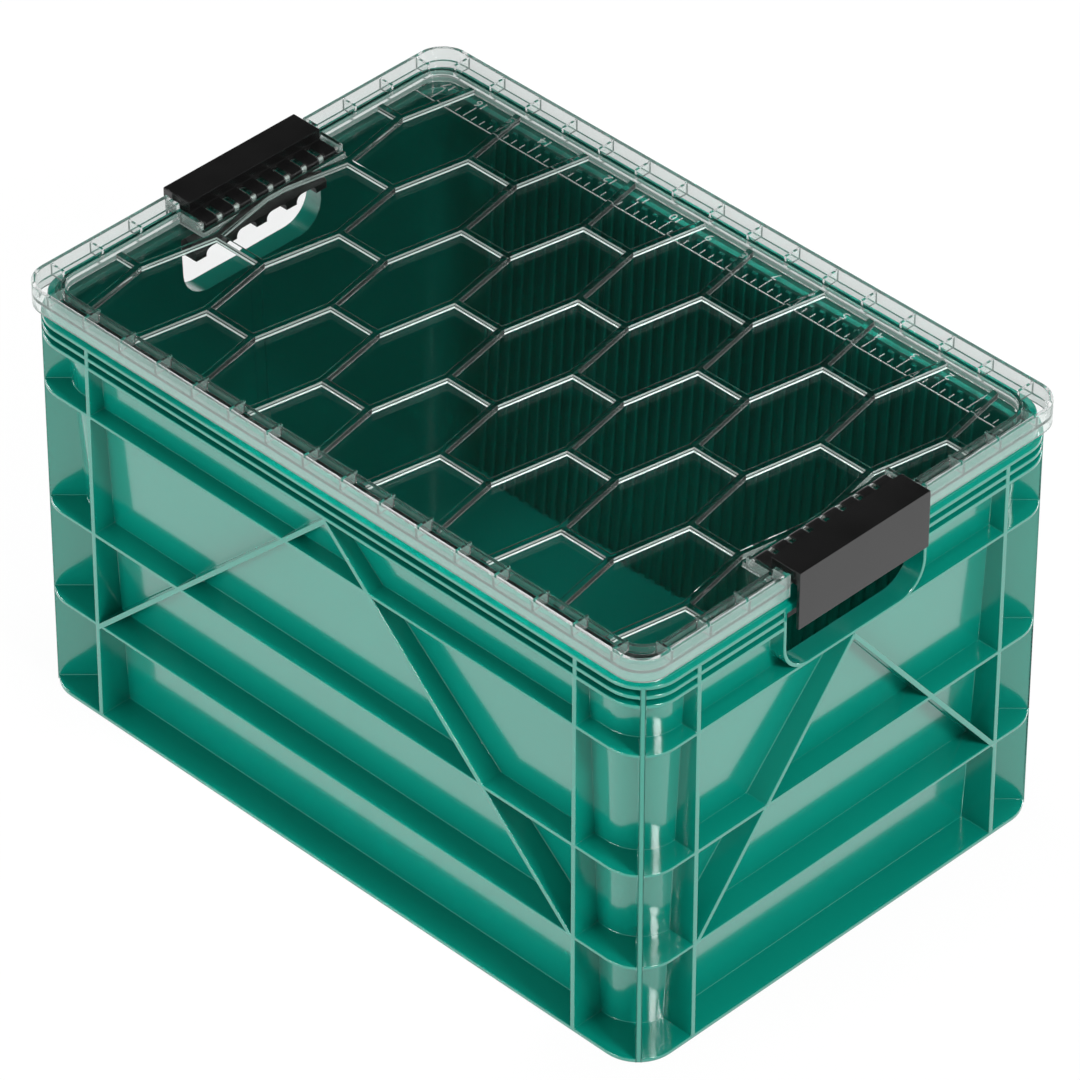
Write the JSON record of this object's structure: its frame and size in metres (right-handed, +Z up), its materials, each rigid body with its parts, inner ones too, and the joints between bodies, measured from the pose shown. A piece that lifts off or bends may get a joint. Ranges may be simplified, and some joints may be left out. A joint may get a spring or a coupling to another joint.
{
  "type": "storage crate",
  "caption": "Ribbed plastic storage crate with handle holes, rubber grips and a clear lift-off lid held by a hinged latch at each end.",
  "frame": {"origin": "on the floor under the middle of the crate", "axes": "+X along the crate's length, +Y across it, +Z up"},
  "size_m": [0.4816, 0.323, 0.2813],
  "materials": {
    "crate_plastic": "gloss, moulded in one colour",
    "clear_plastic": "clear polished plastic",
    "latch_plastic": "smooth black plastic",
    "pin_steel": "drawn steel rod",
    "grip_rubber": "soft black rubber"
  },
  "bodies": {
    "crate": {"crate_body": "crate_plastic", "grip_left": "grip_rubber", "grip_right": "grip_rubber"},
    "lid": {"lid": "clear_plastic", "hinge_pin_left": "pin_steel", "hinge_pin_right": "pin_steel"},
    "latch_left": {"latch_left": "latch_plastic"},
    "latch_right": {"latch_right": "latch_plastic"}
  },
  "joints": [
    {"name": "lid_lift", "type": "slide", "parent": "crate", "child": "lid", "axis": [0, 0, 1], "range_m": [0, 0.06]},
    {"name": "latch_left_swing", "type": "hinge", "parent": "lid", "child": "latch_left", "pos_m": [-0.2095, 0, 0.2719], "axis": [0, 1, 0], "range_deg": [0, 110]},
    {"name": "latch_right_swing", "type": "hinge", "parent": "lid", "child": "latch_right", "pos_m": [0.2095, 0, 0.2719], "axis": [0, -1, 0], "range_deg": [0, 110]}
  ]
}
